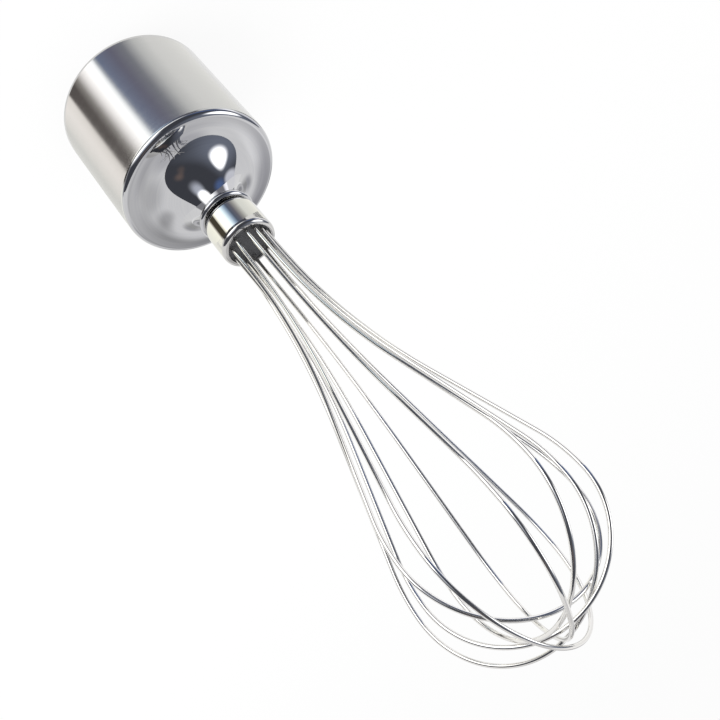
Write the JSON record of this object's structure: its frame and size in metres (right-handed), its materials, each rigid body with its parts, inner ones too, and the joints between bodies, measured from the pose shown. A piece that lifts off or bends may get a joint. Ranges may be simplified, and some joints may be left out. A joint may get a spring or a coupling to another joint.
{
  "type": "immersion blender whisk attachment",
  "caption": "Balloon whisk that a steel coupling cup carries on the end of a stick blender, with a planetary reduction inside the cup.",
  "frame": {"origin": "centre of the coupling cup's open rim, which is the lowest plane, at the middle of the footprint", "axes": "+Z along the whisk's axis, from the open rim to the wires' tips"},
  "size_m": [0.0629, 0.0624, 0.2542],
  "materials": {
    "cup_steel": "satin",
    "ferrule_chrome": "polished",
    "wire_steel": "polished",
    "plain_steel": "ground",
    "bronze": "sintered",
    "core_moulding": "matte",
    "dark_moulding": "fine texture",
    "pale_moulding": "matte",
    "black_rubber": "matte"
  },
  "bodies": {
    "housing": {"coupling_cup": "cup_steel", "locking_sleeve": "dark_moulding", "case_cover": "dark_moulding", "gear_case": "pale_moulding", "case_gasket": "black_rubber", "case_screws": "plain_steel", "input_bush": "bronze", "thrust_washer": "plain_steel", "inner_shaft_bush": "bronze", "outer_shaft_bush": "bronze", "shaft_seal": "black_rubber"},
    "whisk": {"output_shaft": "plain_steel", "planet_carrier": "plain_steel", "planet_pin_1": "plain_steel", "planet_pin_2": "plain_steel", "planet_pin_3": "plain_steel", "retaining_ring": "plain_steel", "whisk_ferrule": "ferrule_chrome", "whisk_core": "core_moulding", "wire_loop_1": "wire_steel", "wire_loop_2": "wire_steel", "wire_loop_3": "wire_steel", "wire_loop_4": "wire_steel", "wire_loop_5": "wire_steel", "wire_loop_6": "wire_steel"},
    "input": {"drive_socket": "dark_moulding", "sun_pinion": "plain_steel"},
    "planet_1": {"planet_gear_1": "pale_moulding"},
    "planet_2": {"planet_gear_2": "pale_moulding"},
    "planet_3": {"planet_gear_3": "pale_moulding"}
  },
  "joints": [
    {"name": "whisk_spin", "type": "hinge", "parent": "housing", "child": "whisk", "pos_m": [0, 0, 0.0601], "axis": [0, 0, 1], "continuous": true},
    {"name": "input_spin", "type": "hinge", "parent": "housing", "child": "input", "pos_m": [0, 0, 0.0295], "axis": [0, 0, 1], "continuous": true},
    {"name": "planet_1_spin", "type": "hinge", "parent": "whisk", "child": "planet_1", "pos_m": [0.01215, 0, 0.0395], "axis": [0, 0, 1], "continuous": true},
    {"name": "planet_2_spin", "type": "hinge", "parent": "whisk", "child": "planet_2", "pos_m": [-0.00607, 0.01052, 0.0395], "axis": [0, 0, 1], "continuous": true},
    {"name": "planet_3_spin", "type": "hinge", "parent": "whisk", "child": "planet_3", "pos_m": [-0.00607, -0.01052, 0.0395], "axis": [0, 0, 1], "continuous": true}
  ],
  "couplings": [
    {"joint": "input_spin", "follows": "whisk_spin", "ratio": 4.5},
    {"joint": "planet_1_spin", "follows": "whisk_spin", "ratio": -2.8},
    {"joint": "planet_2_spin", "follows": "whisk_spin", "ratio": -2.8},
    {"joint": "planet_3_spin", "follows": "whisk_spin", "ratio": -2.8}
  ]
}
